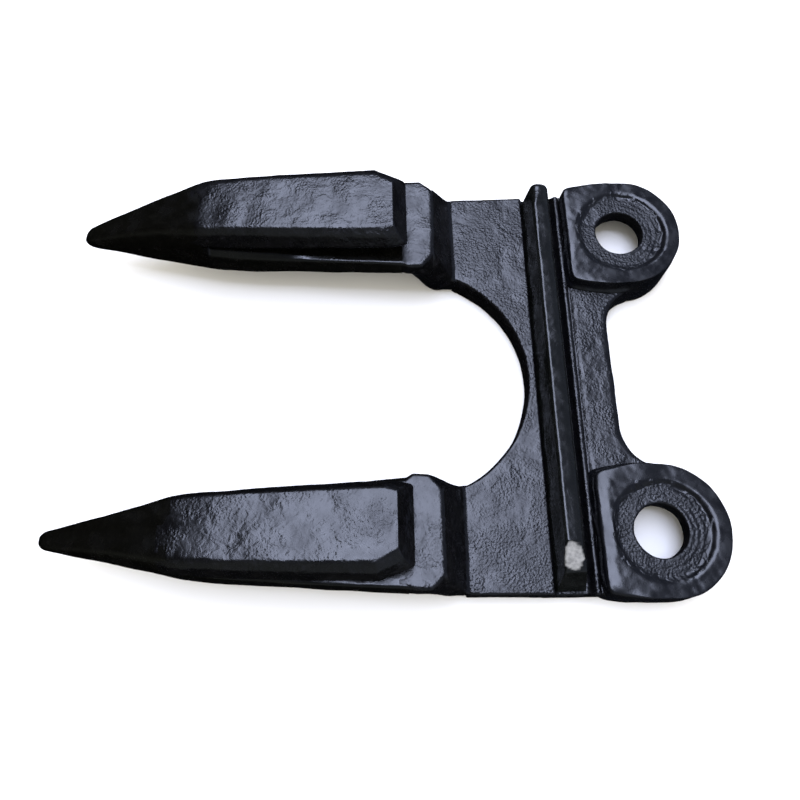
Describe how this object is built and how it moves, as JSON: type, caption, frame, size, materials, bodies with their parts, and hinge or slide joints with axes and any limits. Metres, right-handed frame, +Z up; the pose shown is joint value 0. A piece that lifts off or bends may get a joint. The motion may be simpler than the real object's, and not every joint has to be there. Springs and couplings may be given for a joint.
{
  "type": "double knife guard",
  "caption": "Forged double knife guard: pointed fingers with lips over a knife slot, on a cross plate with a trash bar and bolt ears.",
  "frame": {"origin": "midway between the two bolt holes, on the plane of the underside", "axes": "+Z up out of the ears' tops, the finger tips point along -X, +Y runs from the left bolt hole to the right one"},
  "size_m": [0.1519, 0.107, 0.0253],
  "materials": {
    "plate_paint": "gloss black paint over a pebbled forging",
    "ear_paint": "gloss black paint over a pebbled forging",
    "finger_paint": "gloss black paint over a pebbled forging",
    "lip_paint": "gloss black paint over a pebbled forging"
  },
  "bodies": {
    "root": {"cross_plate": "plate_paint", "trash_bar": "plate_paint", "left_ear": "ear_paint", "right_ear": "ear_paint", "left_heel": "finger_paint", "right_heel": "finger_paint", "left_finger": "finger_paint", "right_finger": "finger_paint", "left_lip": "lip_paint", "right_lip": "lip_paint"}
  },
  "joints": []
}
